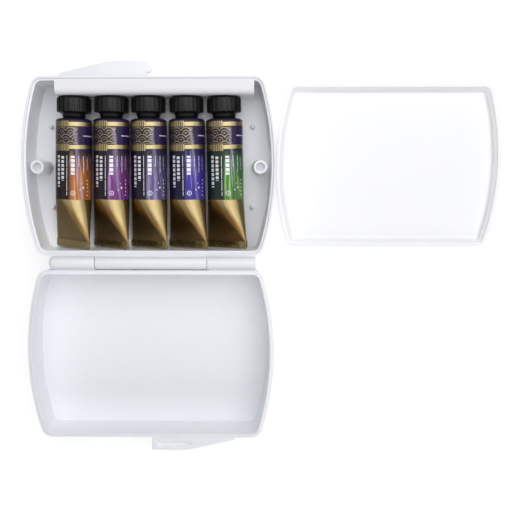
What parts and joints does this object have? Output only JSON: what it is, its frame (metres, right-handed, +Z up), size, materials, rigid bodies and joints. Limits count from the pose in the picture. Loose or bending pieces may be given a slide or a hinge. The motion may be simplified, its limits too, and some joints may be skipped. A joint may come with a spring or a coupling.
{
  "type": "watercolour paint box",
  "caption": "Hinged plastic watercolour box lying open, with capped metal paint tubes, a folded spacer strip and a loose shallow mixing tray.",
  "frame": {"origin": "centre of the base's flat underside, on the table", "axes": "+X along the hinge, to the right in the picture; +Y from the hinge towards the base's latch, up in the picture; +Z up from the table"},
  "size_m": [0.2294, 0.1858, 0.0252],
  "materials": {
    "case_plastic": "smooth injection-moulded white, soft gloss",
    "tray_plastic": "smooth injection-moulded bright white",
    "strip_card": "matt white folded card",
    "rod_steel": "bright drawn rod",
    "tube_metal": "gold lacquer over soft aluminium",
    "cap_plastic": "black, fine satin",
    "paint_orange": "moist paint",
    "paint_magenta": "moist paint",
    "paint_grey_violet": "moist paint",
    "paint_blue_violet": "moist paint",
    "paint_green": "moist paint"
  },
  "bodies": {
    "base": {"base_shell": "case_plastic", "hinge_rod": "rod_steel", "spacer_strip": "strip_card"},
    "lid": {"lid_shell": "case_plastic"},
    "tray": {"mixing_tray": "tray_plastic"},
    "tube_body_1": {"tube_1": "tube_metal", "paint_1": "paint_orange"},
    "tube_body_2": {"tube_2": "tube_metal", "paint_2": "paint_magenta"},
    "tube_body_3": {"tube_3": "tube_metal", "paint_3": "paint_grey_violet"},
    "tube_body_4": {"tube_4": "tube_metal", "paint_4": "paint_blue_violet"},
    "tube_body_5": {"tube_5": "tube_metal", "paint_5": "paint_green"},
    "cap_body_1": {"cap_1": "cap_plastic"},
    "cap_body_2": {"cap_2": "cap_plastic"},
    "cap_body_3": {"cap_3": "cap_plastic"},
    "cap_body_4": {"cap_4": "cap_plastic"},
    "cap_body_5": {"cap_5": "cap_plastic"}
  },
  "joints": [
    {"name": "lid_hinge", "type": "hinge", "parent": "base", "child": "lid", "pos_m": [0, -0.045, 0.02215], "axis": [1, 0, 0], "range_deg": [-180, 0]},
    {"name": "tray_lift", "type": "slide", "parent": "base", "child": "tray", "axis": [0, 0, 1], "range_m": [0, 0.06]},
    {"name": "tube_1_lift", "type": "slide", "parent": "base", "child": "tube_body_1", "axis": [0, 0, 1], "range_m": [0, 0.06]},
    {"name": "tube_2_lift", "type": "slide", "parent": "base", "child": "tube_body_2", "axis": [0, 0, 1], "range_m": [0, 0.06]},
    {"name": "tube_3_lift", "type": "slide", "parent": "base", "child": "tube_body_3", "axis": [0, 0, 1], "range_m": [0, 0.06]},
    {"name": "tube_4_lift", "type": "slide", "parent": "base", "child": "tube_body_4", "axis": [0, 0, 1], "range_m": [0, 0.06]},
    {"name": "tube_5_lift", "type": "slide", "parent": "base", "child": "tube_body_5", "axis": [0, 0, 1], "range_m": [0, 0.06]},
    {"name": "cap_1_twist", "type": "hinge", "parent": "tube_body_1", "child": "cap_body_1", "pos_m": [-0.03628, 0.02749, 0.01055], "axis": [-0.03, -0.9996, 0], "range_deg": [0, 720]},
    {"name": "cap_2_twist", "type": "hinge", "parent": "tube_body_2", "child": "cap_body_2", "pos_m": [-0.01835, 0.02749, 0.01055], "axis": [-0.02, -0.9998, 0], "range_deg": [0, 720]},
    {"name": "cap_3_twist", "type": "hinge", "parent": "tube_body_3", "child": "cap_body_3", "pos_m": [-0.00071, 0.0275, 0.01055], "axis": [-0.003, -1, 0], "range_deg": [0, 720]},
    {"name": "cap_4_twist", "type": "hinge", "parent": "tube_body_4", "child": "cap_body_4", "pos_m": [0.01739, 0.0275, 0.01055], "axis": [0.009, -1, 0], "range_deg": [0, 720]},
    {"name": "cap_5_twist", "type": "hinge", "parent": "tube_body_5", "child": "cap_body_5", "pos_m": [0.03529, 0.02749, 0.01055], "axis": [0.022, -0.9998, 0], "range_deg": [0, 720]}
  ]
}
